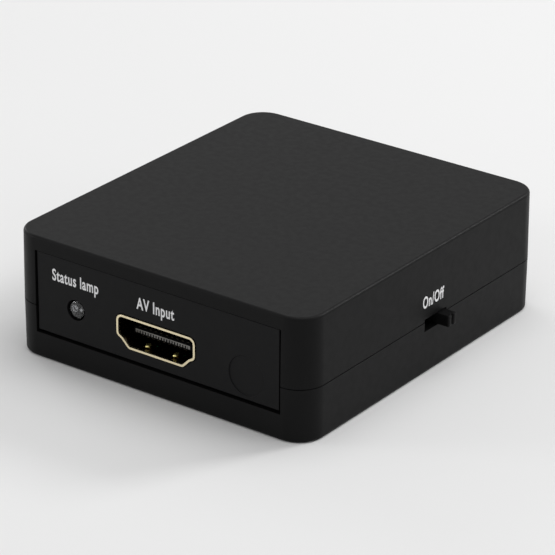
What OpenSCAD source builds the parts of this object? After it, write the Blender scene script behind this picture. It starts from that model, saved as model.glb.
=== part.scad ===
// Signal splitter in a small two-part case: one input socket and a power lamp on the front,
// two output sockets on the rear, a slide switch on the right and a power inlet on the left.
// The origin is at the middle of the underside, the front faces -Y and the switch faces +X.

/* [Case] */
// Width of the case at the seam
case_w = 55; // [48:0.5:75]
// Depth of the case at the seam, front to rear
case_d = 62; // [54:0.5:90]
// Height of the case
case_h = 20; // [18.5:0.5:30]
// Height of the seam between the two covers
seam_z = 8.6; // [8:0.1:10]
// Groove left open between the covers at the seam
seam_gap = 0.1; // [0.05:0.05:0.3]
// Radius of the upright corners
corner_r = 4.4; // [3.4:0.1:5.5]
// Radius of the edge round the top and round the underside
edge_r = 0.5; // [0.2:0.05:1]
// Draft of the outer walls away from the seam, in degrees
draft = 0.5; // [0.1:0.1:1.5]
// Thickness of the walls
wall_t = 1.8; // [1.6:0.05:2]
// Thickness of the floor
floor_t = 1.8; // [1.4:0.05:2.2]
// Thickness of the roof
roof_t = 1.9; // [1.4:0.05:2.1]
// Radius of the upright corners of the hollow
inner_r = 2; // [1.2:0.1:2.2]
// Height of the lip that the lower cover stands inside the upper one
lip_h = 1; // [0.6:0.05:1.4]
// Thickness of that lip
lip_t = 0.8; // [0.5:0.05:0.9]
// Play round the lip
lip_gap = 0.1; // [0.05:0.01:0.15]

/* [Panels] */
// Case wall left at each side of a panel opening
side_strip = 4.6; // [4.3:0.1:5.5]
// Height of the lower edge of a panel opening
opening_low = 4.2; // [3.4:0.1:5]
// Case left above a panel opening
top_strip = 2.3; // [2.2:0.05:3.5]
// Gap at each side of a panel
panel_side_gap = 0.35; // [0.1:0.05:0.5]
// Gap under a panel
panel_low_gap = 0.5; // [0.1:0.05:0.6]
// Gap over a panel
panel_top_gap = 0.1; // [0.05:0.05:0.4]
// Depth of a panel's face behind the case's face
panel_recess = 0.2; // [0:0.05:0.5]
// Thickness of the flange behind a panel's face
flange_t = 1.2; // [0.8:0.1:1.5]
// Lap of the flange past each side of the opening
flange_lap = 0.9; // [0.7:0.05:1]
// Play round the flange
flange_gap = 0.1; // [0.05:0.01:0.2]
// Thickness of the ribs behind the flange
rib_t = 1.2; // [0.8:0.1:1.6]
// Hold of the ribs on the flange
rib_hold = 0.7; // [0.4:0.05:0.9]
// Height of the floor ribs above the floor
floor_rib_h = 2.2; // [1:0.1:2.5]
// Radius of the round blank on the front panel
blank_r = 3.2; // [2:0.1:3.6]
// Depth of the round blank
blank_depth = 0.15; // [0.05:0.05:0.5]
// Place of the round blank to the right of the middle, as a share of half the width
blank_shares = 0.607; // [0.5:0.005:0.63]
// Height of the round blank above the board
blank_z = 2.05; // [1.9:0.05:5]

/* [Circuit board] */
// Thickness of the board
board_t = 1.6; // [1:0.1:1.8]
// Height of the board above the floor
board_gap = 3.05; // [2.7:0.05:3.4]
// Gap between the board and the side walls
board_side_gap = 0.6; // [0.3:0.05:1]
// Gap between the board and the panels
board_end_gap = 0.4; // [0.2:0.05:0.8]
// Gap between the board's notches and the ribs
board_notch_gap = 0.4; // [0.2:0.05:0.6]

/* [Sockets] */
// Width inside a socket's mouth
socket_w = 14; // [13:0.1:14.6]
// Height inside a socket's mouth
socket_h = 4.55; // [4.2:0.05:5]
// Width inside at the foot
foot_w = 9.9; // [9:0.1:10.4]
// Width inside at the step
step_w = 12.4; // [12:0.1:12.8]
// Height of the step above the foot
step_h = 1.25; // [1:0.05:1.4]
// Height above the foot where the upright sides start
side_h = 1.7; // [1.6:0.05:2]
// Radius of the two upper corners
socket_r = 0.7; // [0.4:0.05:1]
// Radius of the lower corners
socket_low_r = 0.5; // [0.3:0.05:0.6]
// Radius of the step's inward corners
step_r = 0.7; // [0.6:0.05:0.9]
// Thickness of the shell's sheet
shell_t = 0.35; // [0.25:0.01:0.4]
// Depth of the shell from its mouth
shell_l = 11; // [10.8:0.1:12]
// Distance that the mouth stands in front of the panel
mouth_proud = 0.1; // [0:0.05:0.15]
// Gap between the shell and the panel
socket_gap = 0.15; // [0.05:0.01:0.2]
// Place of each output socket from the middle, as a share of half the width
output_shares = 0.38; // [0.32:0.005:0.4]
// Distance from the mouth to the front legs
front_leg_y = 4.85; // [4.6:0.05:5.5]
// Distance from the mouth to the back legs
back_leg_y = 9.85; // [9:0.05:10.2]
// Width of a leg
leg_w = 1.1; // [0.8:0.1:1.4]
// Length of a leg under the board
leg_out = 0.8; // [0.3:0.1:1]
// Gap round a leg in the board
leg_gap = 0.15; // [0.1:0.05:0.2]

/* [Shell springs] */
// Distance of each spring from the socket's middle
spring_x = 2.6; // [2.2:0.1:3]
// Width of a spring
spring_w = 1.4; // [1.2:0.1:2.2]
// Slit round a spring
spring_slit = 0.25; // [0.15:0.05:0.3]
// Distance from the mouth to a spring's tip
spring_tip_y = 1.3; // [1.1:0.05:1.6]
// Length of a spring from tip to root
spring_l = 5.2; // [4.5:0.1:5.6]
// Distance from a spring's tip to its crest
spring_crest = 0.9; // [0.5:0.05:1.2]
// Height of the crest inside the wall
spring_rise = 0.4; // [0.3:0.05:0.8]
// Height of the tip inside the wall
spring_tip_rise = 0.1; // [0.05:0.05:0.25]

/* [Tongue and contacts] */
// Width of the tongue inside a socket
tongue_w = 11; // [10.6:0.1:11.4]
// Thickness of the tongue
tongue_t = 1.2; // [1:0.05:1.3]
// Height of the tongue above the foot
tongue_z = 1.45; // [1.4:0.05:1.8]
// Distance of the tongue behind the mouth
tongue_set = 1.8; // [1:0.1:2.5]
// Bevel along the front of the tongue
tongue_bevel = 0.25; // [0.1:0.05:0.35]
// Depth of the block that carries the tongue
block_l = 2.8; // [2:0.1:3.5]
// Play round the block in the shell
block_gap = 0.05; // [0.02:0.01:0.08]
// Spacing of the contacts in one row
contact_pitch = 1; // [0.95:0.01:1.04]
// Contacts in the upper row, one more than in the lower one
upper_contacts = 10; // [6:1:10]
// Width of a contact
contact_w = 0.42; // [0.3:0.01:0.44]
// Thickness of a contact
contact_t = 0.2; // [0.15:0.01:0.25]
// Depth of the groove that a contact lies in
groove_depth = 0.12; // [0.08:0.01:0.14]
// Distance of the contacts behind the front of the tongue
contact_set = 0.3; // [0.2:0.05:0.5]
// Length of the contacts' feet on the board
contact_foot = 0.9; // [0.5:0.05:1.2]

/* [Power inlet] */
// Distance of the inlet behind the middle of the case
inlet_y = 2; // [0:0.1:5]
// Width inside the inlet's mouth
inlet_w = 6.8; // [6:0.1:7.4]
// Height inside the inlet's mouth
inlet_h = 1.85; // [1.7:0.05:2.2]
// Width inside at the inlet's foot
inlet_foot_w = 5.4; // [4.8:0.1:5.6]
// Height above the foot where the inlet's upright sides start
inlet_side_h = 0.75; // [0.6:0.05:0.9]
// Radius of the inlet's corners
inlet_r = 0.3; // [0.2:0.05:0.35]
// Thickness of the inlet's sheet
inlet_t = 0.25; // [0.2:0.01:0.3]
// Depth of the inlet from its mouth
inlet_l = 5.4; // [5:0.1:6]
// Distance of the inlet's mouth inside the case's face
inlet_set = 0.6; // [0.3:0.05:1]
// Gap round the inlet in the case
inlet_gap = 0.3; // [0.15:0.05:0.35]
// Width of the inlet's tongue
inlet_tongue_w = 3.8; // [3.6:0.1:4.4]
// Thickness of the inlet's tongue
inlet_tongue_t = 0.6; // [0.5:0.05:0.7]
// Spacing of the inlet's five contacts
inlet_pitch = 0.65; // [0.6:0.01:0.68]
// Width of an inlet contact
inlet_contact_w = 0.35; // [0.25:0.01:0.4]

/* [Power lamp] */
// Place of the lamp to the left of the middle, as a share of half the width
lamp_shares = 0.553; // [0.45:0.005:0.6]
// Height of the lamp's axis above the board
lamp_z = 3.35; // [2.2:0.05:6]
// Radius of the lamp's lens
lamp_r = 1.5; // [1.2:0.05:1.7]
// Radius of the rim at the lens's base
lamp_rim_r = 1.9; // [1.8:0.05:2.1]
// Thickness of that rim
lamp_rim_t = 1; // [0.6:0.1:1.2]
// Length of the lens from its tip
lamp_l = 5.3; // [4.9:0.1:6]
// Height of the lens's domed end
lamp_dome = 0.35; // [0.2:0.05:1]
// Distance of the tip behind the panel's face
lamp_set = 0; // [0:0.05:0.4]
// Gap round the lens in the panel
lamp_gap = 0.175; // [0.05:0.005:0.3]
// Spacing of the lamp's two wires
wire_spacing = 2.5; // [2:0.05:2.6]
// Thickness of a wire
lamp_wire_t = 0.5; // [0.4:0.05:0.6]
// Width of the holder behind the lamp
holder_w = 4.6; // [4.2:0.1:5]
// Depth of the holder
holder_l = 3; // [2.5:0.1:4]

/* [Switch] */
// Distance of the switch behind the middle of the case
switch_y = 2.05; // [-4:0.05:5]
// Travel of the knob
travel = 3; // [2:0.1:4]
// Length of the knob along its travel
knob_l = 2.1; // [1.6:0.05:3]
// Height of the knob
knob_h = 1.85; // [1.4:0.05:2.4]
// Reach of the knob past the case's side
knob_reach = 2.1; // [1:0.1:3]
// Radius of the knob's outer corners
knob_r = 0.25; // [0.1:0.05:0.4]
// Width of the groove in the knob's end
knob_groove_w = 0.6; // [0.3:0.05:0.8]
// Depth of that groove
knob_groove = 0.35; // [0.1:0.05:0.5]
// Gap at each end of the knob's travel in the case
slot_end_gap = 0.325; // [0.1:0.025:0.5]
// Gap over and under the knob
slot_gap = 0.1; // [0.05:0.01:0.2]
// Gap between the switch and the case wall
switch_wall_gap = 0.5; // [0.2:0.05:1]
// Thickness of the switch's frame
frame_t = 0.3; // [0.2:0.05:0.4]
// Depth of the switch's frame
frame_l = 3.2; // [3:0.1:3.6]
// Length of the carriage behind the knob
carriage_l = 5.1; // [4.8:0.1:6]
// Thickness of the carriage
carriage_t = 1.6; // [1.2:0.05:1.7]
// Height of the carriage's shoulder over and under the knob
shoulder = 0.35; // [0.3:0.05:0.6]
// Play round the carriage
run_gap = 0.1; // [0.05:0.01:0.12]
// Play at each end of the carriage
end_gap = 0.15; // [0.1:0.01:0.3]
// Thickness of the switch's base outside the frame
base_t = 1.4; // [1:0.1:2]
// Length of the base inside the frame
base_plug = 0.5; // [0.3:0.05:0.6]
// Spacing of the switch's three terminals
terminal_pitch = 2.5; // [2:0.1:2.8]
// Width of a terminal
terminal_w = 0.8; // [0.5:0.05:1]
// Thickness of a terminal
terminal_t = 0.4; // [0.25:0.05:0.5]
// Thickness of the spring contact behind the carriage
wiper_t = 0.15; // [0.1:0.01:0.16]
// Height of the spring contact's bumps
wiper_rise = 0.35; // [0.2:0.01:0.36]

/* [Screws] */
// Distance of the screws from the sides
screw_side = 6.2; // [5.5:0.1:6.3]
// Distance of the screws from the front and the rear
screw_end = 15.8; // [15.6:0.1:18]
// Radius of the bosses under the roof
boss_r = 2.4; // [2:0.05:2.5]
// Radius of the posts on the floor
post_r = 3.2; // [2.9:0.05:3.4]
// Radius of a screw's shank
screw_r = 1.1; // [0.9:0.05:1.15]
// Length of a screw's shank
screw_l = 7.5; // [6:0.1:8]
// Gap round a screw in its boss
screw_gap = 0.05; // [0.02:0.01:0.1]
// Radius of the clearance holes in the posts and the board
screw_hole_r = 1.3; // [1.2:0.05:1.4]
// Radius of a screw's head
head_r = 2; // [1.6:0.05:2.1]
// Height of a screw's head
head_h = 1.3; // [0.8:0.05:1.5]
// Radius of the recess for the head
sink_r = 2.3; // [2.2:0.05:2.5]
// Depth of the recess for the head
sink_depth = 2.2; // [1.6:0.05:2.6]

/* [Electronics] */
// Width and depth of the splitter chip
chip_w = 10; // [7:0.5:12]
// Height of the splitter chip
chip_h = 1.4; // [1:0.1:1.6]
// Leads on each side of the splitter chip
chip_leads = 16; // [8:1:16]
// Spacing of those leads
chip_pitch = 0.5; // [0.4:0.05:0.5]
// Length of the memory chip
memory_l = 4.9; // [4:0.1:6]
// Width of the memory chip
memory_w = 3.9; // [3:0.1:5]
// Height of the memory chip
memory_h = 1.5; // [1:0.1:2]
// Length of the regulator
regulator_l = 6.5; // [5:0.1:7]
// Width of the regulator
regulator_w = 3.5; // [3:0.1:4]
// Height of the regulator
regulator_h = 1.6; // [1.2:0.1:2]
// Length of the crystal's can
crystal_l = 10.3; // [8:0.1:11]
// Width of the crystal's can
crystal_w = 3.8; // [3:0.1:4.5]
// Height of the crystal's can
crystal_h = 3.4; // [2.5:0.1:4]
// Width and depth of the coil
coil_w = 5; // [3:0.1:6]
// Height of the coil
coil_h = 2.4; // [1.5:0.1:3.5]
// Radius of a can capacitor
can_r = 2.5; // [1.5:0.1:2.6]
// Height of a can capacitor
can_h = 5.2; // [3:0.1:5.4]
// Length of a ceramic capacitor
ceramic_l = 1.6; // [1:0.1:2]
// Width and height of a ceramic capacitor
ceramic_w = 0.8; // [0.5:0.05:1]
// Length of a resistor
resistor_l = 1.6; // [1:0.1:2]
// Width of a resistor
resistor_w = 0.8; // [0.5:0.05:1]
// Height of a resistor
resistor_h = 0.45; // [0.3:0.05:0.6]

/* [Hidden] */

// Overrun of a cut past the face that it leaves, and of a rib into the wall that carries it
over = 0.5;
// Flats on a quarter of a moulded edge and of a small corner
edge_steps = 4;
arc_steps = 4;
// Facets round a full circle of the case's corners
corner_facets = 64;
$fn = 48;

half_w = case_w / 2;
half_d = case_d / 2;
output_x = output_shares * half_w;
lamp_x = lamp_shares * half_w;
blank_x = blank_shares * half_w;
inner_w = case_w - 2 * wall_t;
inner_d = case_d - 2 * wall_t;
roof_z = case_h - roof_t;
board_z = floor_t + board_gap;
board_top = board_z + board_t;

opening_w = case_w - 2 * side_strip;
opening_top = case_h - top_strip;
panel_w = opening_w - 2 * panel_side_gap;
panel_low = opening_low + panel_low_gap;
panel_top = opening_top - panel_top_gap;
panel_face = half_d - panel_recess;
flange_face = inner_d / 2 - flange_gap;
flange_back = flange_face - flange_t;
flange_w = opening_w + 2 * flange_lap;
rib_face = flange_back - flange_gap;
rib_x = flange_w / 2 - rib_hold;

board_w = inner_w - 2 * board_side_gap;
board_d = 2 * (flange_back - board_end_gap);

mouth_y = panel_face + mouth_proud;
block_y = shell_l - block_l;
leg_drop = board_t + leg_out;
groove_gap = 0.02;
tongue_low = shell_t + tongue_z;
tongue_high = tongue_low + tongue_t;
upper_z = tongue_high - groove_depth;
lower_z = tongue_low + groove_depth - contact_t;
contact_front = tongue_set + contact_set;
contact_back = shell_l + contact_t;

// The inlet's tongue hangs under the roof of its shell, with its contacts on its lower face
inlet_tongue_drop = 0.45;
inlet_tongue_y = 0.8;
inlet_tongue_low = inlet_t + inlet_h - inlet_tongue_drop - inlet_tongue_t;
inlet_block_l = 1.6;
inlet_block_gap = 0.03;
inlet_contact_t = 0.15;
inlet_contact_z = inlet_tongue_low - inlet_contact_t;
inlet_row = [for (i = [-2 : 2]) i * inlet_pitch];
inlet_contact_set = 0.25;
inlet_contact_foot = 0.6;
inlet_leg_w = 0.9;
inlet_leg_y = 3.6;

lamp_tip_y = panel_face - lamp_set;
lamp_base_y = lamp_tip_y - lamp_l;
lamp_steps = 8;
// The dome is a cap of a sphere with this radius, up to this angle from the lamp's axis
dome_r = (lamp_r * lamp_r + lamp_dome * lamp_dome) / (2 * lamp_dome);
dome_angle = asin(lamp_r / dome_r);
wire_gap = 0.15;
// Distance from the lens's base to where its wires bend down, and the wires' place in the case
wire_run = 1.2;
wire_y = wire_run + lamp_wire_t / 2 - lamp_base_y;

switch_x = half_w - wall_t - switch_wall_gap;
switch_h = knob_h + 2 * (shoulder + run_gap + frame_t);
switch_l = carriage_l + travel + 2 * (end_gap + frame_t);
slot_l = travel + knob_l + 2 * slot_end_gap;
slot_h = knob_h + 2 * slot_gap;
carriage_back = frame_t + run_gap + carriage_t;
pad_t = 0.1;
terminal_out = 0.8;
// Places of the frame's legs along its depth
frame_leg_shares = [0.25, 0.75];

screw_x = half_w - screw_side;
screw_y = half_d - screw_end;
pilot_r = screw_r + screw_gap;
pilot_l = screw_l + sink_depth - board_top + over;
recess_l = 2.4;
recess_w = 0.6;
recess_depth = 0.8;

lead_t = 0.15;
lead_w = 0.25;
lead_reach = 1;
lead_foot = 0.5;
chip_stand = 0.1;
memory_leads = 4;
memory_lead_spacing = 1.25;
memory_lead_w = 0.4;
regulator_lead_spacing = 2.3;
regulator_lead_w = 0.75;
regulator_tab_w = 3;
regulator_reach = 1.6;
can_base_h = 0.6;
can_base_w = 2 * can_r + can_base_h / 2;
crystal_foot_h = 0.5;
body_bevel = 0.2;

// Places on the board, as shares of half its width and half its depth
memory_shares = [-0.46, -0.4];
regulator_shares = [-0.5, 0.34];
crystal_shares = [0.44, -0.42];
coil_shares = [0.5, 0.42];
can_shares = [[-0.62, -0.1], [0, 0.5], [0.6, -0.2]];
resistor_shares = [
    [-0.12, -0.5], [-0.04, -0.5], [0.04, -0.5], [0.12, -0.5],
    [-0.44, -0.6], [-0.36, -0.6], [0.28, 0.5], [0.2, 0.5], [-0.84, -0.76], [-0.76, -0.76]
];

// The three ceramic capacitors on each side of the splitter chip, along it as shares of half its width
ceramic_shares = [-0.7, 0.1, 0.7];
ceramic_gap = 0.5;

case_colour = [0.1, 0.1, 0.11];
panel_colour = [0.13, 0.13, 0.14];
plastic_colour = [0.18, 0.18, 0.18];
gold_colour = [0.88, 0.76, 0.5];
tin_colour = [0.72, 0.73, 0.75];
board_colour = [0.1, 0.32, 0.18];
chip_colour = [0.2, 0.2, 0.22];
lens_colour = [0.6, 0.62, 0.62];

// Outlines are lists of [x, y, radius], anticlockwise
function unit(v) = v / norm(v);
function place(v) = [v.x, v.y];
function turn(a, b) = atan2(a.x * b.y - a.y * b.x, a * b);
function right_of(v) = [v.y, -v.x];

// Points of the arc of radius r that replaces the corner at v between p and q
function corner_arc(p, v, q, r) = r <= 0 ? [v] :
    let (
        a = unit(v - p), t = turn(a, unit(q - v)), s = sign(t),
        start = v - a * abs(r * tan(t / 2)), spoke = s * r * right_of(a), centre = start - spoke
    )
    [for (i = [0 : arc_steps]) let (w = t * i / arc_steps)
        centre + [cos(w) * spoke.x - sin(w) * spoke.y, sin(w) * spoke.x + cos(w) * spoke.y]];

function before(path, i) = path[(i + len(path) - 1) % len(path)];
function after(path, i) = path[(i + 1) % len(path)];

function rounded(path) = [for (i = [0 : len(path) - 1])
    each corner_arc(place(before(path, i)), place(path[i]), place(after(path, i)), path[i].z)];

// The same outline, d further out all round, with its radii kept concentric
function grown(path, d) = [for (i = [0 : len(path) - 1])
    let (
        a = unit(place(path[i]) - place(before(path, i))),
        b = unit(place(after(path, i)) - place(path[i])),
        v = place(path[i]) + d * (right_of(a) + right_of(b)) / (1 + a * b)
    )
    [v.x, v.y, path[i].z + sign(turn(a, b)) * d]];

// A whole outline from its right half, which is listed upwards
function mirrored(half) = concat(half, [for (i = [len(half) - 1 : -1 : 0]) [-half[i].x, half[i].y, half[i].z]]);

function rectangle(w, d, r) = [[-w / 2, -d / 2, r], [w / 2, -d / 2, r], [w / 2, d / 2, r], [-w / 2, d / 2, r]];

function socket_outline() = mirrored([
    [foot_w / 2, shell_t, socket_low_r],
    [step_w / 2, shell_t + step_h, step_r],
    [socket_w / 2, shell_t + side_h, socket_low_r],
    [socket_w / 2, shell_t + socket_h, socket_r]
]);

function inlet_outline() = mirrored([
    [inlet_foot_w / 2, inlet_t, inlet_r],
    [inlet_w / 2, inlet_t + inlet_side_h, inlet_r],
    [inlet_w / 2, inlet_t + inlet_h, inlet_r]
]);

// Extrudes an outline drawn in x and z from y = 0 to y = l
module along_y(l) translate([0, l, 0]) rotate([90, 0, 0]) linear_extrude(height = l) children();

// Extrudes an outline drawn in y and z along x, centred
module along_x(l) rotate([90, 0, 90]) linear_extrude(height = l, center = true) children();

// A box between two corners
module span(low, high) translate(low) cube(high - low);

// A rounded rectangle about the z axis, from one height to another
module block(w, d, r, low, high) translate([0, 0, low]) linear_extrude(height = high - low)
    polygon(rounded(rectangle(w, d, r)));

// The right side as drawn, or the left side as its mirror image
module side(s) mirror([s < 0 ? 1 : 0, 0, 0]) children();

module four_corners(x, y) for (sx = [-1, 1], sy = [-1, 1]) translate([sx * x, sy * y, 0]) children();

// Both ends of the case: the front, and the rear as the front turned half round
module both_ends() for (a = [0, 180]) rotate([0, 0, a]) children();

// Outer form of a cover from the seam to its outer end, drafted and with its edge rounded
module skin(start, end) {
    way = sign(end - start);
    end_r = corner_r - abs(end - start) * tan(draft);
    hull() four_corners(half_w - corner_r, half_d - corner_r) rotate_extrude($fn = corner_facets)
        polygon([
            [0, start], [corner_r, start],
            for (i = [0 : edge_steps]) let (a = 90 * i / edge_steps)
                [end_r - edge_r * (1 - cos(a)), end - way * edge_r * (1 - sin(a))],
            [0, end]
        ]);
}

module panel_openings() both_ends()
    span([-opening_w / 2, -half_d - over, opening_low], [opening_w / 2, -inner_d / 2 + over, opening_top]);

module switch_slot() translate([half_w - wall_t, switch_y, board_top + switch_h / 2])
    span([-over, -slot_l / 2, -slot_h / 2], [wall_t + over, slot_l / 2, slot_h / 2]);

module inlet_cut() at_inlet() translate([0, -inlet_set - over, 0]) along_y(wall_t + 2 * over)
    polygon(rounded(grown(inlet_outline(), inlet_t + inlet_gap)));

module wall_cuts() {
    panel_openings();
    switch_slot();
    inlet_cut();
}

// Ribs on the side walls that hold the panels' flanges against the end walls
module side_ribs(low, high) both_ends() for (s = [-1, 1]) side(s)
    span([rib_x, -rib_face, low], [inner_w / 2 + over, -rib_face + rib_t, high]);

module top_cover() color(case_colour) {
    low = seam_z + seam_gap;
    rebate = lip_t + lip_gap;
    rebate_top = seam_z + lip_h + lip_gap;
    difference() {
        union() {
            difference() {
                skin(low, case_h);
                block(inner_w, inner_d, inner_r, seam_z, roof_z);
                block(inner_w + 2 * rebate, inner_d + 2 * rebate, inner_r + rebate, seam_z, rebate_top);
            }
            four_corners(screw_x, screw_y) translate([0, 0, board_top])
                cylinder(r = boss_r, h = roof_z - board_top + over);
            side_ribs(rebate_top, roof_z + over);
        }
        wall_cuts();
        four_corners(screw_x, screw_y) translate([0, 0, board_top - over])
            cylinder(r = pilot_r, h = pilot_l + over);
    }
}

module bottom_cover() color(case_colour) difference() {
    union() {
        difference() {
            union() {
                skin(seam_z, 0);
                block(inner_w + 2 * lip_t, inner_d + 2 * lip_t, inner_r + lip_t, floor_t, seam_z + lip_h);
            }
            block(inner_w, inner_d, inner_r, floor_t, seam_z + lip_h + over);
        }
        four_corners(screw_x, screw_y) translate([0, 0, floor_t - over])
            cylinder(r = post_r, h = board_gap + over);
        side_ribs(floor_t - over, seam_z);
        both_ends() span([-screw_x, -rib_face, floor_t - over], [screw_x, -rib_face + rib_t, floor_t + floor_rib_h]);
    }
    wall_cuts();
    four_corners(screw_x, screw_y) {
        translate([0, 0, -over]) cylinder(r = sink_r, h = sink_depth + over);
        translate([0, 0, -over]) cylinder(r = screw_hole_r, h = board_z + 2 * over);
    }
}

module case_screws() color(tin_colour) four_corners(screw_x, screw_y) translate([0, 0, sink_depth]) difference() {
    union() {
        cylinder(r = screw_r, h = screw_l);
        translate([0, 0, -head_h / 2]) cylinder(r = head_r, h = head_h / 2);
        translate([0, 0, -head_h]) cylinder(r1 = head_r - head_h / 3, r2 = head_r, h = head_h / 2);
    }
    for (a = [0, 90]) rotate([0, 0, a])
        span([-recess_l / 2, -recess_w / 2, -head_h - over], [recess_l / 2, recess_w / 2, recess_depth - head_h]);
}

// An end panel: its face in the opening, and the flange behind it
module panel() {
    span([-panel_w / 2, -panel_face, panel_low], [panel_w / 2, -flange_back, panel_top]);
    span([-flange_w / 2, -flange_face, floor_t + flange_gap], [flange_w / 2, -flange_back, roof_z - flange_gap]);
}

module socket_cut() translate([0, -over, 0]) along_y(half_d - flange_back + over)
    polygon(rounded(grown(socket_outline(), shell_t + socket_gap)));

module front_panel() color(panel_colour) difference() {
    panel();
    at_input() socket_cut();
    translate([-lamp_x, -half_d, board_top + lamp_z]) along_y(half_d - flange_back + over)
        circle(r = lamp_r + lamp_gap);
    translate([blank_x, -half_d, board_top + blank_z]) along_y(panel_recess + blank_depth)
        circle(r = blank_r);
}

module rear_panel() color(panel_colour) difference() {
    rotate([0, 0, 180]) panel();
    for (s = [-1, 1]) at_output(s) socket_cut();
}

// Places of the sockets: local y runs from the mouth inwards, and z = 0 is the board's top
module at_input() translate([0, -mouth_y, board_top]) children();
module at_output(side) translate([side * output_x, mouth_y, board_top]) rotate([0, 0, 180]) children();
module at_inlet() translate([inlet_set - half_w, inlet_y, board_top]) rotate([0, 0, -90]) children();
module at_switch() translate([switch_x, switch_y, board_top]) children();

// One box for each leg of a part with two rows of legs, widened by a gap
module legs(x, t, places, w, drop, top, gap) for (s = [-1, 1], y = places) side(s)
    span([x - gap, y - w / 2 - gap, -drop], [x + t + gap, y + w / 2 + gap, top]);

module socket_legs(gap, drop, top) legs(socket_w / 2, shell_t, [front_leg_y, back_leg_y], leg_w, drop, top, gap);
module inlet_legs(gap, drop, top) legs(inlet_w / 2, inlet_t, [inlet_leg_y], inlet_leg_w, drop, top, gap);
module frame_legs(gap, drop, top) for (s = [-1, 1], x = frame_leg_shares)
    span([-frame_l * x - terminal_w / 2 - gap, s * (switch_l - frame_t) / 2 - frame_t / 2 - gap, -drop],
        [-frame_l * x + terminal_w / 2 + gap, s * (switch_l - frame_t) / 2 + frame_t / 2 + gap, top]);

module circuit_board() color(board_colour) difference() {
    span([-board_w / 2, -board_d / 2, board_z], [board_w / 2, board_d / 2, board_top]);
    both_ends() for (s = [-1, 1]) side(s)
        span([rib_x - board_notch_gap, -board_d / 2 - over, board_z - over],
            [board_w / 2 + over, rib_t + board_notch_gap - rib_face, board_top + over]);
    four_corners(screw_x, screw_y) translate([0, 0, board_z - over])
        cylinder(r = screw_hole_r, h = board_t + 2 * over);
    at_input() socket_legs(leg_gap, board_t + over, over);
    for (s = [-1, 1]) at_output(s) socket_legs(leg_gap, board_t + over, over);
    at_inlet() inlet_legs(leg_gap, board_t + over, over);
    at_switch() {
        frame_legs(leg_gap, board_t + over, over);
        terminals(leg_gap, board_t + over);
    }
    for (s = [-1, 1]) translate([s * wire_spacing / 2 - lamp_x, wire_y, board_z - over])
        cylinder(r = lamp_wire_t, h = board_t + 2 * over);
}

// A spring cut from the shell's wall, seen in y and z, with its crest inside the shell
function spring_outline() = let (
        root = spring_tip_y + spring_l,
        line = [[spring_tip_y, spring_tip_rise], [spring_tip_y + spring_crest, spring_rise], [root, 0], [root + over, 0]]
    )
    concat(line, [for (i = [len(line) - 1 : -1 : 0]) line[i] + [0, shell_t]]);

module springs() for (x = [-spring_x, spring_x]) {
    translate([x, 0, 0]) along_x(spring_w) polygon(spring_outline());
    translate([x, 0, socket_h + 2 * shell_t]) mirror([0, 0, 1]) along_x(spring_w) polygon(spring_outline());
}

module spring_windows() for (x = [-spring_x, spring_x])
    span([x - spring_w / 2 - spring_slit, spring_tip_y - spring_slit, -over],
        [x + spring_w / 2 + spring_slit, spring_tip_y + spring_l, socket_h + 2 * shell_t + over]);

module socket_shell() color(gold_colour) {
    difference() {
        along_y(shell_l) polygon(rounded(grown(socket_outline(), shell_t)));
        translate([0, -over, 0]) along_y(shell_l + 2 * over) polygon(rounded(socket_outline()));
        spring_windows();
    }
    springs();
    socket_legs(0, leg_drop, shell_t + side_h + over);
}

// Places of the contacts in one row
function row(count) = [for (i = [0 : count - 1]) (i - (count - 1) / 2) * contact_pitch];

// A contact seen in y and z: along the tongue, through the block, down to the board and out as a foot
function contact_outline(z, front, back, t, foot) = [
    [front, z], [back - t, z], [back - t, 0], [back + foot, 0], [back + foot, t], [back, t], [back, z + t], [front, z + t]
];

module socket_insulator() color(plastic_colour) difference() {
    union() {
        translate([0, block_y, 0]) along_y(block_l) polygon(rounded(grown(socket_outline(), -block_gap)));
        along_x(tongue_w) polygon([
            [tongue_set, tongue_low + tongue_bevel], [tongue_set + tongue_bevel, tongue_low],
            [block_y + over, tongue_low], [block_y + over, tongue_high],
            [tongue_set + tongue_bevel, tongue_high], [tongue_set, tongue_high - tongue_bevel]
        ]);
    }
    for (x = row(upper_contacts)) groove(x, upper_z, upper_z + contact_t + block_gap);
    for (x = row(upper_contacts - 1)) groove(x, lower_z - block_gap, lower_z + contact_t);
}

module groove(x, low, high) span([x - contact_w / 2 - groove_gap, contact_front - groove_gap, low],
    [x + contact_w / 2 + groove_gap, shell_l + over, high]);

module socket_contacts() color(gold_colour) {
    for (x = row(upper_contacts)) translate([x, 0, 0]) along_x(contact_w)
        polygon(contact_outline(upper_z, contact_front, contact_back, contact_t, contact_foot));
    for (x = row(upper_contacts - 1)) translate([x, 0, 0]) along_x(contact_w)
        polygon(contact_outline(lower_z, contact_front, contact_back, contact_t, contact_foot));
}

module inlet_shell() color(tin_colour) {
    difference() {
        along_y(inlet_l) polygon(rounded(grown(inlet_outline(), inlet_t)));
        translate([0, -over, 0]) along_y(inlet_l + 2 * over) polygon(rounded(inlet_outline()));
    }
    inlet_legs(0, leg_drop, inlet_t + inlet_h / 2);
}

module inlet_insulator() color(plastic_colour) difference() {
    union() {
        translate([0, inlet_l - inlet_block_l, 0]) along_y(inlet_block_l)
            polygon(rounded(grown(inlet_outline(), -inlet_block_gap)));
        span([-inlet_tongue_w / 2, inlet_tongue_y, inlet_tongue_low],
            [inlet_tongue_w / 2, inlet_l - inlet_block_l + over, inlet_tongue_low + inlet_tongue_t]);
    }
    for (x = inlet_row) span([x - inlet_contact_w / 2 - groove_gap, inlet_tongue_y, inlet_contact_z - groove_gap],
        [x + inlet_contact_w / 2 + groove_gap, inlet_l + over, inlet_tongue_low]);
}

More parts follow.
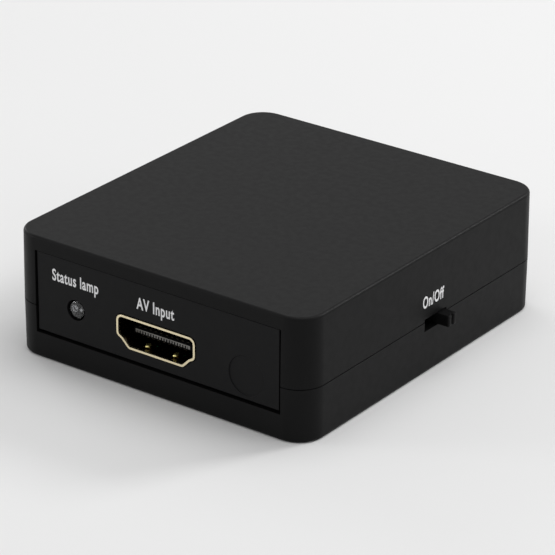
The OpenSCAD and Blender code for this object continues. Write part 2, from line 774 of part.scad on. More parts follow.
module inlet_contacts() color(gold_colour) for (x = inlet_row) translate([x, 0, 0]) along_x(inlet_contact_w)
    polygon(contact_outline(inlet_contact_z, inlet_tongue_y + inlet_contact_set, inlet_l + 2 * inlet_contact_t,
        inlet_contact_t, inlet_contact_foot));

// The lamp's parts, with y running from the base of the lens towards the middle of the case
module at_lamp() translate([-lamp_x, -lamp_base_y, board_top + lamp_z]) children();

module power_lamp_lens() color(lens_colour) at_lamp() rotate([90, 0, 0]) rotate_extrude() polygon([
    [0, 0], [lamp_rim_r, 0], [lamp_rim_r, lamp_rim_t], [lamp_r, lamp_rim_t],
    for (i = [lamp_steps : -1 : 0]) let (a = dome_angle * i / lamp_steps)
        [dome_r * sin(a), lamp_l - dome_r * (1 - cos(a))]
]);

module power_lamp_wires() color(tin_colour) for (s = [-1, 1]) at_lamp() translate([s * wire_spacing / 2, 0, 0])
    along_x(lamp_wire_t) polygon([
        [0, -lamp_wire_t / 2], [wire_run, -lamp_wire_t / 2], [wire_run, -lamp_z - leg_drop],
        [wire_run + lamp_wire_t, -lamp_z - leg_drop], [wire_run + lamp_wire_t, lamp_wire_t / 2], [0, lamp_wire_t / 2]
    ]);

module power_lamp_holder() color(plastic_colour) at_lamp() difference() {
    span([-holder_w / 2, 0, -lamp_z], [holder_w / 2, holder_l, lamp_rim_r]);
    for (s = [-1, 1]) translate([s * wire_spacing / 2, 0, 0])
        span([-lamp_wire_t / 2 - wire_gap, -over, -lamp_z - over],
            [lamp_wire_t / 2 + wire_gap, holder_l + over, lamp_wire_t / 2 + wire_gap]);
}

module switch_frame() color(tin_colour) at_switch() {
    difference() {
        span([-frame_l, -switch_l / 2, 0], [0, switch_l / 2, switch_h]);
        span([-frame_l - over, frame_t - switch_l / 2, frame_t], [-frame_t, switch_l / 2 - frame_t, switch_h - frame_t]);
        span([-frame_t - over, -slot_l / 2, switch_h / 2 - slot_h / 2], [over, slot_l / 2, switch_h / 2 + slot_h / 2]);
    }
    frame_legs(0, leg_drop, frame_t);
}

// The three terminals, or with a gap the room for them
module terminals(gap, drop) for (i = [-1 : 1]) translate([0, i * terminal_pitch - terminal_w / 2 - gap, 0])
    along_y(terminal_w + 2 * gap) polygon([
        [base_plug + pad_t - frame_l, switch_h / 2 - terminal_t / 2 - gap],
        [base_plug + pad_t - frame_l, switch_h / 2 + terminal_t / 2 + gap],
        [-frame_l - base_t - terminal_out - gap, switch_h / 2 + terminal_t / 2 + gap],
        [-frame_l - base_t - terminal_out - gap, -drop],
        [-frame_l - base_t - terminal_out + terminal_t + gap, -drop],
        [-frame_l - base_t - terminal_out + terminal_t + gap, switch_h / 2 - terminal_t / 2 - gap]
    ]);

module switch_base() color(plastic_colour) at_switch() difference() {
    union() {
        span([-frame_l - base_t, -switch_l / 2, 0], [-frame_l, switch_l / 2, switch_h]);
        span([-frame_l - base_t / 2, frame_t + block_gap - switch_l / 2, frame_t + block_gap],
            [base_plug - frame_l, switch_l / 2 - frame_t - block_gap, switch_h - frame_t - block_gap]);
    }
    terminals(block_gap, -switch_h / 4);
}

module switch_terminals() color(gold_colour) at_switch() terminals(0, leg_drop);

// The slider at its rest place, at the rear end of its travel
module at_slider() at_switch() translate([0, travel / 2, switch_h / 2]) children();

module switch_slider() color(panel_colour) at_slider() {
    tip = switch_wall_gap + wall_t + knob_reach;
    span([-carriage_back, -carriage_l / 2, -knob_h / 2 - shoulder],
        [-frame_t - run_gap, carriage_l / 2, knob_h / 2 + shoulder]);
    translate([0, 0, -knob_h / 2]) linear_extrude(height = knob_h) polygon(rounded([
        [-carriage_back / 2, -knob_l / 2, 0], [tip, -knob_l / 2, knob_r], [tip, -knob_groove_w / 2, 0],
        [tip - knob_groove, -knob_groove_w / 4, 0], [tip - knob_groove, knob_groove_w / 4, 0],
        [tip, knob_groove_w / 2, 0], [tip, knob_l / 2, knob_r], [-carriage_back / 2, knob_l / 2, 0]
    ]));
}

// The spring contact behind the carriage: a strip with two bumps that bridge two terminals
module switch_contact() color(gold_colour) at_slider() {
    bump = terminal_pitch / 2;
    wing = knob_h / 4;
    strip = [
        [-bump - 2 * wiper_rise, 0], [-bump - wiper_rise, 0], [-bump, -wiper_rise], [-bump + wiper_rise, 0],
        [bump - wiper_rise, 0], [bump, -wiper_rise], [bump + wiper_rise, 0], [bump + 2 * wiper_rise, 0]
    ];
    translate([-carriage_back - wiper_t, 0, -wing]) linear_extrude(height = 2 * wing) polygon(concat(
        [for (p = strip) [p.y, p.x]], [for (i = [len(strip) - 1 : -1 : 0]) [strip[i].y + wiper_t, strip[i].x]]
    ));
}

// A gull-wing lead seen in y and z, from a body's side at y = 0 down to the board
function lead_outline(rise, reach, foot, t) = [
    [0, rise - t / 2], [reach - foot - t, rise - t / 2], [reach - foot, 0], [reach, 0], [reach, t],
    [reach - foot + t, t], [reach - foot, rise + t / 2], [0, rise + t / 2]
];

// Leads along both long sides of a body of depth d
module lead_rows(count, pitch, d, w, rise) for (a = [0, 180], i = [0 : count - 1])
    rotate([0, 0, a]) translate([(i - (count - 1) / 2) * pitch, d / 2, 0])
        along_x(w) polygon(lead_outline(rise, lead_reach, lead_foot, lead_t));

// A moulded body with its upright edges bevelled, standing on the board or just over it
module body(w, d, low, h) translate([0, 0, low]) linear_extrude(height = h) polygon([
    [body_bevel - w / 2, -d / 2], [w / 2 - body_bevel, -d / 2], [w / 2, body_bevel - d / 2], [w / 2, d / 2 - body_bevel],
    [w / 2 - body_bevel, d / 2], [body_bevel - w / 2, d / 2], [-w / 2, d / 2 - body_bevel], [-w / 2, body_bevel - d / 2]
]);

module at_share(shares) translate([shares.x * board_w / 2, shares.y * board_d / 2, board_top]) children();

module splitter_chip() color(chip_colour) at_share([0, 0]) body(chip_w, chip_w, chip_stand, chip_h);

module splitter_chip_leads() color(tin_colour) at_share([0, 0]) for (a = [0, 90]) rotate([0, 0, a])
    lead_rows(chip_leads, chip_pitch, chip_w, lead_w, chip_stand + chip_h / 2);

module memory_chip() color(chip_colour) at_share(memory_shares) body(memory_l, memory_w, chip_stand, memory_h);

module memory_chip_leads() color(tin_colour) at_share(memory_shares)
    lead_rows(memory_leads, memory_lead_spacing, memory_w, memory_lead_w, chip_stand + memory_h / 2);

module regulator() color(chip_colour) at_share(regulator_shares)
    body(regulator_l, regulator_w, chip_stand, regulator_h);

module regulator_leads() color(tin_colour) at_share(regulator_shares) {
    for (x = [-1 : 1]) translate([x * regulator_lead_spacing, regulator_w / 2, 0]) along_x(regulator_lead_w)
        polygon(lead_outline(chip_stand + regulator_h / 2, regulator_reach, lead_foot, lead_t));
    mirror([0, 1, 0]) translate([0, regulator_w / 2, 0]) along_x(regulator_tab_w)
        polygon(lead_outline(chip_stand + regulator_h / 2, regulator_reach, lead_foot, lead_t));
}

module crystal_can() color(tin_colour) at_share(crystal_shares) {
    block(crystal_l, crystal_w, crystal_w / 2, 0, crystal_foot_h);
    inset = crystal_foot_h;
    block(crystal_l - inset, crystal_w - inset, (crystal_w - inset) / 2, crystal_foot_h / 2, crystal_h);
}

module power_coil() color(chip_colour) at_share(coil_shares) body(coil_w, coil_w, 0, coil_h);

module can_capacitors() color(tin_colour) for (p = can_shares) at_share(p)
    translate([0, 0, can_base_h]) cylinder(r = can_r, h = can_h - can_base_h);

module can_capacitor_bases() color(chip_colour) for (p = can_shares) at_share(p)
    body(can_base_w, can_base_w, 0, can_base_h);

module ceramic_capacitors() color([0.72, 0.6, 0.42]) at_share([0, 0])
    for (a = [0 : 90 : 270], p = ceramic_shares) rotate([0, 0, a])
        translate([chip_w / 2 + lead_reach + ceramic_gap, p * chip_w / 2, 0])
            span([0, -ceramic_l / 2, 0], [ceramic_w, ceramic_l / 2, ceramic_w]);

module resistors() color([0.15, 0.15, 0.16]) for (p = resistor_shares) at_share(p)
    span([-resistor_w / 2, -resistor_l / 2, 0], [resistor_w / 2, resistor_l / 2, resistor_h]);

top_cover();
bottom_cover();
case_screws();
front_panel();
rear_panel();
circuit_board();
at_input() socket_shell();  // input_shell
at_input() socket_insulator();  // input_insulator
at_input() socket_contacts();  // input_contacts
at_output(-1) socket_shell();  // left_output_shell
at_output(-1) socket_insulator();  // left_output_insulator
at_output(-1) socket_contacts();  // left_output_contacts
at_output(1) socket_shell();  // right_output_shell
at_output(1) socket_insulator();  // right_output_insulator
at_output(1) socket_contacts();  // right_output_contacts
at_inlet() inlet_shell();  // power_inlet_shell
at_inlet() inlet_insulator();  // power_inlet_insulator
at_inlet() inlet_contacts();  // power_inlet_contacts
power_lamp_lens();
power_lamp_wires();
power_lamp_holder();
switch_frame();
switch_base();
switch_terminals();
switch_slider();
switch_contact();
splitter_chip();
splitter_chip_leads();
memory_chip();
memory_chip_leads();
regulator();
regulator_leads();
crystal_can();
power_coil();
can_capacitors();
can_capacitor_bases();
ceramic_capacitors();
resistors();
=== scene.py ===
"""Looks of a small signal splitter: covers, panels, sockets, lamp, switch and words, in a plain studio."""
import math

import bmesh
import bpy
import numpy as np
from bpy.props import FloatProperty, FloatVectorProperty, IntProperty, PointerProperty, StringProperty
from mathutils import Matrix, Vector


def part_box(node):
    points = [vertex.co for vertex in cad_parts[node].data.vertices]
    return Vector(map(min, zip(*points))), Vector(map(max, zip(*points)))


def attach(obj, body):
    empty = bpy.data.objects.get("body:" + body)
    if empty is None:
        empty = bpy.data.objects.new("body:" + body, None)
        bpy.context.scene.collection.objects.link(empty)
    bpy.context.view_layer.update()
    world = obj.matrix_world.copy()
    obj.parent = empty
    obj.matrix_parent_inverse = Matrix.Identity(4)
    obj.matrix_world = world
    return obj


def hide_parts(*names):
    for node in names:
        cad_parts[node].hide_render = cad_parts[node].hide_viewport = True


bl_info = {
    "name": "Signal splitter",
    "version": (1, 0, 0),
    "blender": (4, 5, 0),
    "location": "3D View > Sidebar > Splitter",
    "description": "Dresses the packed model of a signal splitter and lights it in a plain studio",
    "category": "Object",
}

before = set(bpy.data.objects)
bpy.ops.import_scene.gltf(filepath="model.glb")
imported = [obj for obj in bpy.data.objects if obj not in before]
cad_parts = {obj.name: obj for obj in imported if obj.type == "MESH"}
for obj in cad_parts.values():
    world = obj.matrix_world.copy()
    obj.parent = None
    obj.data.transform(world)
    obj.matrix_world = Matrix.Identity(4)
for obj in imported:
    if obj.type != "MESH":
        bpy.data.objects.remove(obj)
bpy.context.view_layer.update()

MM = 0.001
CASE = "case"
SLIDER = "slider"
SOCKETS = ("input", "left_output", "right_output")


# What a user may change

def colour(name, description, value):
    """A colour that a user may change, given in linear red, green and blue."""
    return FloatVectorProperty(name=name, description=description, subtype="COLOR", size=3, min=0.0, max=1.0,
                               default=value)


def length(name, description, value, low=0.0, high=0.1):
    """A length that a user may change, in metres."""
    return FloatProperty(name=name, description=description, subtype="DISTANCE", unit="LENGTH", default=value,
                         min=low, max=high, precision=5)


class SplitterFinishes(bpy.types.PropertyGroup):
    """Colours of the object's materials."""
    case: colour("Case", "Matte plastic of the two covers", (0.0050, 0.0050, 0.0051))
    panel: colour("Panels", "Matte plastic of the end panels", (0.0070, 0.0070, 0.0073))
    knob: colour("Knob", "Plastic of the switch knob", (0.0030, 0.0030, 0.0031))
    insulator: colour("Insulators", "Plastic inside the sockets", (0.0030, 0.0030, 0.0031))
    gold: colour("Gold plating", "Plating of the socket shells", (0.9000, 0.7900, 0.5400))
    # painted shade: the dark gold of the socket shells behind the mouth stands for the shade inside the
    # sockets
    gold_in_painted_shade: colour("Dull gold", "Plating of the socket shells behind the mouth", (0.0700, 0.0400, 0.0150))
    spring: colour("Springs", "Plating on the crests of the sockets' springs", (0.9500, 0.8600, 0.3600))
    ends: colour("Contact comb", "Contact ends in the front of the tongue", (0.2500, 0.2440, 0.2320))
    contact: colour("Contacts", "Plating of the contacts", (0.7600, 0.7300, 0.6600))
    # painted shade: the socket contacts are darkened to stand for the shade inside the sockets
    shaded_contact: colour("Socket contacts", "Plating of the sockets' contacts", (0.0600, 0.0520, 0.0400))
    tin: colour("Tin plating", "Plating of steel parts", (0.6600, 0.6600, 0.6700))
    screw: colour("Screws", "Blackened screws", (0.0550, 0.0550, 0.0580))
    ink: colour("Ink", "Printed lettering", (0.8600, 0.8600, 0.8700))
    resin: colour("Lamp resin", "Resin of the lamp's lens", (0.5600, 0.5700, 0.5800))
    cup: colour("Reflector", "Cup and post inside the lamp", (0.6200, 0.6200, 0.6300))
    laminate: colour("Laminate", "Lacquered circuit board", (0.0080, 0.0700, 0.0280))
    chip: colour("Chips", "Moulded resin of the chips", (0.0130, 0.0130, 0.0140))
    ceramic: colour("Ceramic", "Body of the ceramic capacitors", (0.3600, 0.2300, 0.1000))


class SplitterSizes(bpy.types.PropertyGroup):
    """Sizes of what the looks add to the frame."""
    cover_bevel: length("Cover bevel", "Bevel on the covers' hard edges", 0.06 * MM)
    panel_bevel: length("Panel bevel", "Bevel on the panels' hard edges", 0.06 * MM)
    sheet_bevel: length("Sheet bevel", "Bevel on the sockets' sheet metal", 0.09 * MM)
    plastic_bevel: length("Insulator bevel", "Bevel on small mouldings", 0.05 * MM)
    knob_bevel: length("Knob bevel", "Bevel on the switch knob", 0.12 * MM)
    screw_bevel: length("Screw bevel", "Bevel on the screw heads", 0.08 * MM)
    ink_thickness: length("Ink thickness", "Thickness of the printed lettering", 0.02 * MM)
    letter_height: length("Letter height", "Height of a capital letter", 1.85 * MM)
    round_steps: IntProperty(name="Steps round", description="Steps round a turned piece", default=64,
                             min=12, max=256)


class SplitterWords(bpy.types.PropertyGroup):
    """Printed words, all of them generic."""
    lamp: StringProperty(name="Lamp", description="Word over the lamp", default="Status lamp")
    socket: StringProperty(name="Socket", description="Word over the input socket", default="AV Input")
    switch: StringProperty(name="Switch", description="Word over the switch", default="On/Off")


class SplitterStage(bpy.types.PropertyGroup):
    """Floor, sky and camera."""
    floor: colour("Floor", "Colour that the floor lights the object with", (0.8000, 0.8000, 0.8000))
    floor_seen: colour("Floor seen", "Colour of the floor where it is looked at", (0.8300, 0.8300, 0.8300))
    floor_size: length("Floor size", "Side of the square floor", 6.0, 0.1, 50.0)
    sky: FloatProperty(name="Sky", description="Light that comes from all round", default=0.36,
                       min=0.0, max=2.0)
    backdrop: FloatProperty(name="Backdrop", description="Brightness of the world where it is looked at",
                            default=0.72, min=0.0, max=1.0)
    azimuth: FloatProperty(name="Azimuth", description="Camera's turn to the right of the front, in degrees",
                           default=36.292)
    elevation: FloatProperty(name="Elevation", description="Camera's height over the horizon, in degrees",
                             default=24.806)
    roll: FloatProperty(name="Roll", description="Camera's turn about its own line of sight, in degrees",
                        default=0.371)
    distance: length("Distance", "Distance from the camera to its aim point", 482.652 * MM, 0.01, 10.0)
    aim_height: length("Aim height", "Height of the point that the camera is aimed at", 12.0 * MM)
    across: length("Across", "Camera's move to its own right", -0.394 * MM, -0.1)
    upward: length("Upward", "Camera's move along its own up", -3.492 * MM, -0.1)
    focal_pixels: FloatProperty(name="Focal length", default=3137.82,
                                description="Focal length in pixels of a picture 555 wide")


def finishes():
    """The scene's colours."""
    return bpy.context.scene.splitter_finishes


def sizes():
    """The scene's sizes."""
    return bpy.context.scene.splitter_sizes


# Shapes

MERGE = 0.0005 * MM
WELD = 0.002 * MM
FLAT = math.radians(0.3)
SMOOTH_NEW = math.radians(35.0)
SMOOTH_COPY = math.radians(30.0)
SMOOTH_INK = math.radians(20.0)
BEVEL_SEGMENTS = 2


def grid_faces(rows, columns):
    """Quads of a rows by columns grid of points whose last column joins the first.
    Face (i, j) has the corners (i, j), (i, j + 1), (i + 1, j + 1) and (i + 1, j)."""
    i, j = np.meshgrid(np.arange(rows - 1), np.arange(columns), indexing="ij")
    k = (j + 1) % columns
    near, far = i * columns, (i + 1) * columns
    return np.stack([near + j, near + k, far + k, far + j], -1).reshape(-1, 4)


def repeated(faces, points_each, copies):
    """The quads of one shape, numbered on for each copy of its points."""
    return (np.asarray(faces) + points_each * np.arange(copies)[:, None, None]).reshape(-1, 4)


def point_rows(x, y, z):
    """Points from arrays of their three coordinates, which are spread over one grid, one row each."""
    return np.stack(np.broadcast_arrays(x, y, z), -1).reshape(-1, 3)


def turned_points(profile, steps):
    """Points of a profile turned about the y axis: (r cos a, y, r sin a) for each (r, y) and each angle a."""
    a = np.linspace(0.0, 2.0 * math.pi, steps, endpoint=False)
    r, y = profile[:, :1], profile[:, 1:]
    return point_rows(r * np.cos(a), y, r * np.sin(a))


def ball_points(steps):
    """Points of a ball of radius 1: (cos u cos v, sin u cos v, sin v), u round it and v from pole to pole."""
    u = np.linspace(0.0, 2.0 * math.pi, steps, endpoint=False)[None]
    v = np.linspace(-math.pi / 2, math.pi / 2, steps // 2 + 1)[:, None]
    return point_rows(np.cos(u) * np.cos(v), np.sin(u) * np.cos(v), np.sin(v))


def coordinates(mesh):
    """A mesh's points, one row each."""
    co = np.empty(len(mesh.vertices) * 3)
    mesh.vertices.foreach_get("co", co)
    return co.reshape(-1, 3)


def points_of(node):
    """The points of a frame node."""
    return coordinates(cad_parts[node].data)


def closed(mesh):
    """Merges a mesh's doubles and turns its faces outwards."""
    edit = bmesh.new()
    edit.from_mesh(mesh)
    bmesh.ops.remove_doubles(edit, verts=edit.verts, dist=MERGE)
    bmesh.ops.recalc_face_normals(edit, faces=edit.faces)
    edit.to_mesh(mesh)
    edit.free()
    return mesh


def welded_copy(node):
    """A copy of a frame node's mesh with its doubles merged and its flat regions joined."""
    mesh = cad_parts[node].data.copy()
    edit = bmesh.new()
    edit.from_mesh(mesh)
    bmesh.ops.remove_doubles(edit, verts=edit.verts, dist=WELD)
    bmesh.ops.dissolve_limit(edit, angle_limit=FLAT, use_dissolve_boundaries=False, verts=edit.verts,
                             edges=edit.edges)
    edit.to_mesh(mesh)
    edit.free()
    return mesh


def finished(name, mesh, body, material, smooth):
    """An object at the origin for a mesh, smooth below an angle, with its material, riding on its body."""
    mesh.shade_smooth()
    mesh.set_sharp_from_angle(angle=smooth)
    mesh.materials.clear()
    mesh.materials.append(material)
    piece = bpy.data.objects.new(name, mesh)
    bpy.context.scene.collection.objects.link(piece)
    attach(piece, body)
    return piece


def new_piece(name, points, faces, material):
    """A closed piece of the case from arrays, with its material."""
    mesh = bpy.data.meshes.new(name)
    mesh.from_pydata(points.tolist(), [], faces.tolist())
    piece = finished(name, closed(mesh), CASE, material, SMOOTH_NEW)
    return piece


def bevelled_copy(node, body, material, width):
    """A frame node's own shape with its hard edges broken by a bevel, standing for the node."""
    piece = finished(node + "_finish", welded_copy(node), body, material, SMOOTH_COPY)
    bevel = piece.modifiers.new("edge_break", "BEVEL")
    bevel.width = width
    bevel.segments = BEVEL_SEGMENTS
    bevel.limit_method = "ANGLE"
    bevel.angle_limit = SMOOTH_COPY
    bevel.miter_outer = "MITER_ARC"
    bevel.harden_normals = True
    weigh = piece.modifiers.new("flat_faces", "WEIGHTED_NORMAL")
    weigh.keep_sharp = True
    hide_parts(node)


def dress(node, material):
    """Gives a frame node, whose shape is kept, its material."""
    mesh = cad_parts[node].data
    mesh.materials.clear()
    mesh.materials.append(material)


# Shader nodes

def feed(tree, socket, value):
    """Links a socket to another node's output, or sets its own value."""
    if isinstance(value, bpy.types.NodeSocket):
        tree.links.new(value, socket)
    else:
        socket.default_value = value


def node_of(tree, kind, inputs=None, **settings):
    """A shader node with its settings, and its inputs set from a dictionary of values or of links."""
    made = tree.nodes.new(kind)
    for key, value in settings.items():
        setattr(made, key, value)
    for key, value in (inputs or {}).items():
        feed(tree, made.inputs[key], value)
    return made


def started(name, values=None):
    """A new material, its tree, its Principled shader with the values given, and object coordinates."""
    material = bpy.data.materials.new(name)
    material.use_nodes = True
    tree = material.node_tree
    shader = tree.nodes["Principled BSDF"]
    for key, value in (values or {}).items():
        shader.inputs[key].default_value = value
    place = node_of(tree, "ShaderNodeTexCoord").outputs["Object"]
    return material, tree, shader, place


def noise(tree, place, per_metre, detail=3.0, stretch=None):
    """Noise from 0 to 1 with features about 1 / per_metre long, stretched along the axes if asked."""
    if stretch:
        place = node_of(tree, "ShaderNodeMapping", {"Vector": place, "Scale": stretch}).outputs["Vector"]
    pattern = {"Vector": place, "Scale": per_metre, "Detail": detail}
    return node_of(tree, "ShaderNodeTexNoise", pattern).outputs["Fac"]


def spread(tree, value, low, high, start=0.35, end=0.65):
    """Maps start to low and end to high, held at both ends."""
    ends = {"Value": value, "From Min": start, "From Max": end, "To Min": low, "To Max": high}
    return node_of(tree, "ShaderNodeMapRange", ends).outputs["Result"]


def blended(tree, factor, first, second):
    """Mixes two colours, plain or linked, by a factor: the first at 0, the second at 1."""
    mix = node_of(tree, "ShaderNodeMix", data_type="RGBA")
    feed(tree, mix.inputs["Factor"], factor)
    for socket, value in (("A", first), ("B", second)):
        feed(tree, mix.inputs[socket], value if isinstance(value, bpy.types.NodeSocket) else (*value, 1.0))
    return mix.outputs["Result"]


def reckoned(tree, operation, first, second):
    """The result of a Math node on two values or links."""
    return node_of(tree, "ShaderNodeMath", {0: first, 1: second}, operation=operation).outputs["Value"]


def shaded(value, factor):
    """A colour made lighter or darker."""
    return tuple(min(1.0, c * factor) for c in value)


def relief(tree, shader, height, depth, strength=1.0):
    """Bump from a height value, depth metres deep."""
    bump = node_of(tree, "ShaderNodeBump", {"Height": height, "Strength": strength, "Distance": depth})
    tree.links.new(bump.outputs["Normal"], shader.inputs["Normal"])


def painted(tree, shader, pattern, base, low, high, start=0.35, end=0.65):
    """Base colour from a pattern: low times as bright up to start, and high times as bright from end on."""
    share = spread(tree, pattern, 0.0, 1.0, start, end)
    tree.links.new(blended(tree, share, shaded(base, low), shaded(base, high)), shader.inputs["Base Color"])


def polished(tree, shader, pattern, low, high):
    """Roughness from a pattern, from low to high."""
    tree.links.new(spread(tree, pattern, low, high), shader.inputs["Roughness"])


def looked_at(tree):
    """1 where the camera, a gloss or a clear part looks at the surface, and 0 where it only gives light."""
    path = node_of(tree, "ShaderNodeLightPath")
    direct = reckoned(tree, "MAXIMUM", path.outputs["Is Camera Ray"], path.outputs["Is Transmission Ray"])
    return reckoned(tree, "MAXIMUM", direct, path.outputs["Is Glossy Ray"])


# Materials

# A value named PER_M says how many features of a pattern lie on a metre
MOTTLE_PER_M = 260.0
GLOSS_PER_M = 900.0
GLOSS_SPREAD = 0.03
TARNISH_PER_M = 350.0
ROLLING_PER_M = 6000.0
ROLLING_DEPTH = 0.003 * MM
ROLLING_STRENGTH = 0.5
SMOOTHER_MARK = 0.05
DULLER_MARK = 0.08
ACROSS_SHEET = (1.0, 0.2, 1.0)
# RIM_DEPTH is how far behind a socket's mouth its gold has faded into painted shade
RIM_DEPTH = 0.6 * MM
RIM_ROUGHNESS = (0.2, 0.32)


def moulded_plastic(name, base, rough, grain_per_mm, grain_depth, variation, specular):
    """Moulded plastic: a fine eroded grain, a faint mottle and patches that are a little smoother."""
    material, tree, shader, place = started(name, {"Specular IOR Level": specular})
    mottle = noise(tree, place, MOTTLE_PER_M, detail=5.0)
    painted(tree, shader, mottle, base, 1.0 - variation, 1.0 + variation)
    polished(tree, shader, noise(tree, place, GLOSS_PER_M), rough - GLOSS_SPREAD, rough + GLOSS_SPREAD)
    relief(tree, shader, noise(tree, place, grain_per_mm / MM, detail=2.0), grain_depth)
    return material


def plated_metal(name, base, rough, tarnish):
    """Plated sheet: metal with fine rolling marks and slightly duller patches."""
    material, tree, shader, place = started(name, {"Metallic": 1.0})
    patches = noise(tree, place, TARNISH_PER_M, detail=4.0)
    painted(tree, shader, patches, base, 1.0, tarnish)
    marks = noise(tree, place, ROLLING_PER_M)
    polished(tree, shader, marks, rough - SMOOTHER_MARK, rough + DULLER_MARK)
    relief(tree, shader, marks, ROLLING_DEPTH, ROLLING_STRENGTH)
    return material


def socket_plating_with_painted_shade(name, mouth, inward):
    """Gold plating, bright at the rim and darkened behind the mouth with painted shade inside the socket.
    The bright share falls from 1 at the mouth to 0 at RIM_DEPTH."""
    material, tree, shader, place = started(name, {"Metallic": 1.0})
    y = node_of(tree, "ShaderNodeSeparateXYZ", {"Vector": place}).outputs["Y"]
    rim = spread(tree, y, 1.0, 0.0, mouth, mouth + inward * RIM_DEPTH)
    # painted shade: the gold darkens behind the mouth to stand for the shade inside the socket
    tree.links.new(blended(tree, rim, finishes().gold_in_painted_shade, finishes().gold), shader.inputs["Base Color"])
    marks = noise(tree, place, ROLLING_PER_M, stretch=ACROSS_SHEET)
    polished(tree, shader, marks, *RIM_ROUGHNESS)
    relief(tree, shader, marks, ROLLING_DEPTH, ROLLING_STRENGTH)
    return material


def printed_ink():
    """Pad-printed ink: nearly flat white, a little uneven."""
    material, tree, shader, place = started("printed_ink")
    thinner = noise(tree, place, per_metre=4000.0, detail=4.0)
    painted(tree, shader, thinner, finishes().ink, low=1.0, high=0.93)
    polished(tree, shader, noise(tree, place, per_metre=9000.0), low=0.45, high=0.6)
    relief(tree, shader, noise(tree, place, per_metre=12000.0), depth=0.002 * MM)
    return material


def lens_resin():
    """Cast resin: clear, faintly milky in patches, with a smooth skin."""
    clear = {"Transmission Weight": 0.95, "IOR": 1.5, "Specular IOR Level": 0.3}
    material, tree, shader, place = started("lamp_resin", clear)
    cloud = noise(tree, place, per_metre=900.0)
    painted(tree, shader, cloud, finishes().resin, low=1.0, high=0.96)
    polished(tree, shader, noise(tree, place, per_metre=2500.0), low=0.03, high=0.09)
    return material


def lacquered_board():
    """Circuit board: green lacquer over woven glass."""
    material, tree, shader, place = started("board_lacquer", {"Coat Weight": 0.4})
    weave = node_of(tree, "ShaderNodeTexVoronoi", {"Vector": place, "Scale": 900.0},
                    distance="CHEBYCHEV").outputs["Distance"]
    painted(tree, shader, weave, finishes().laminate, low=1.0, high=1.7, start=0.2, end=0.6)
    polished(tree, shader, noise(tree, place, per_metre=1500.0), low=0.3, high=0.45)
    relief(tree, shader, weave, depth=0.02 * MM, strength=0.4)
    return material


def fired_ceramic():
    """Fired ceramic: a speckled brown body."""
    material, tree, shader, place = started("fired_ceramic")
    specks = noise(tree, place, per_metre=9000.0, detail=4.0)
    painted(tree, shader, specks, finishes().ceramic, low=1.0, high=0.7)
    polished(tree, shader, noise(tree, place, per_metre=3000.0), low=0.35, high=0.5)
    return material


def material_once(name, make, **values):
    """The material of that name, made the first time that it is asked for."""
    return bpy.data.materials.get(name) or make(name, **values)


def tin_plate():
    """Plating of the steel parts."""
    return material_once("tin_plating", plated_metal, base=finishes().tin, rough=0.3, tarnish=0.75)


def contact_plate():
    """Plating of the switch's and the inlet's contacts."""
    return material_once("contact_plating", plated_metal, base=finishes().contact, rough=0.25, tarnish=0.8)


def socket_contact_plate():
    """Plating of the contacts in the sockets, darkened with painted shade for the inside of the sockets."""
    return material_once("socket_contact_plating", plated_metal, base=finishes().shaded_contact, rough=0.35,
                         tarnish=0.8)


def comb_plate():
    """Plating of the contact ends in the front of a tongue."""
    return material_once("contact_end_plating", plated_metal, base=finishes().ends, rough=0.4, tarnish=0.7)


def spring_plate():
    """Bright plating of the springs' dimples."""
    return material_once("spring_plating", plated_metal, base=finishes().spring, rough=0.3, tarnish=0.85)


def insulator_plastic():
    """Black plastic of tongues, holders and bases."""
    return material_once("insulator_moulding", moulded_plastic, base=finishes().insulator, rough=0.6,
                         grain_per_mm=9.0, grain_depth=0.002 * MM, variation=0.06, specular=0.03)


def chip_resin():
    """Moulded resin of the chips and small parts."""
    return material_once("chip_moulding", moulded_plastic, base=finishes().chip, rough=0.6,
                         grain_per_mm=12.0, grain_depth=0.01 * MM, variation=0.06, specular=0.15)


# Pieces

class SPLITTER_OT_covers(bpy.types.Operator):
    """Top and bottom covers with broken edges, in grained black plastic"""
    bl_idname = "splitter.covers"
    bl_label = "Covers"

    def execute(self, context):
        """Dresses both covers."""
        material = moulded_plastic("case_plastic", finishes().case, rough=0.46, grain_per_mm=9.0,
                                   grain_depth=0.004 * MM, variation=0.03, specular=0.1)
        for node in ("top_cover", "bottom_cover"):
            bevelled_copy(node, CASE, material, sizes().cover_bevel)
        return {"FINISHED"}


class SPLITTER_OT_panels(bpy.types.Operator):
    """Front and rear panels with broken edges"""
    bl_idname = "splitter.panels"
    bl_label = "Panels"

    def execute(self, context):
        """Dresses both panels."""
        material = moulded_plastic("panel_plastic", finishes().panel, rough=0.5, grain_per_mm=8.0,
                                   grain_depth=0.007 * MM, variation=0.03, specular=0.11)
        for node in ("front_panel", "rear_panel"):
            bevelled_copy(node, CASE, material, sizes().panel_bevel)
        return {"FINISHED"}


